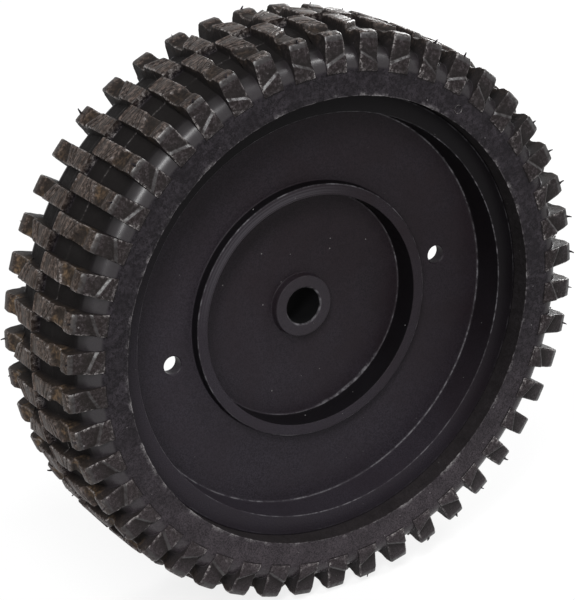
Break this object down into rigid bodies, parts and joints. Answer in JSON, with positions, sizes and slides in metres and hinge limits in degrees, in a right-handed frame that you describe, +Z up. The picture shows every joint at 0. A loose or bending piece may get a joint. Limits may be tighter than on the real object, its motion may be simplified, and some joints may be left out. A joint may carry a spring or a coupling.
{
  "type": "lawn mower wheel",
  "caption": "Lawn mower wheel: lugged black rubber tyre on a dished moulded plastic wheel with a ringed hub cup, a plain axle bore and bolt holes in the web.",
  "frame": {"origin": "centre of the wheel: on the axle's line, midway between the tyre's two sidewalls", "axes": "+Y along the axle towards the mower, +Z up, the dished front face looks towards -Y"},
  "size_m": [0.2032, 0.0526, 0.2032],
  "materials": {
    "tyre_rubber": "satin black moulded rubber with brown dust in the tread",
    "wheel_plastic": "satin black moulded plastic"
  },
  "bodies": {
    "root": {"tyre": "tyre_rubber", "wheel_body": "wheel_plastic"}
  },
  "joints": []
}
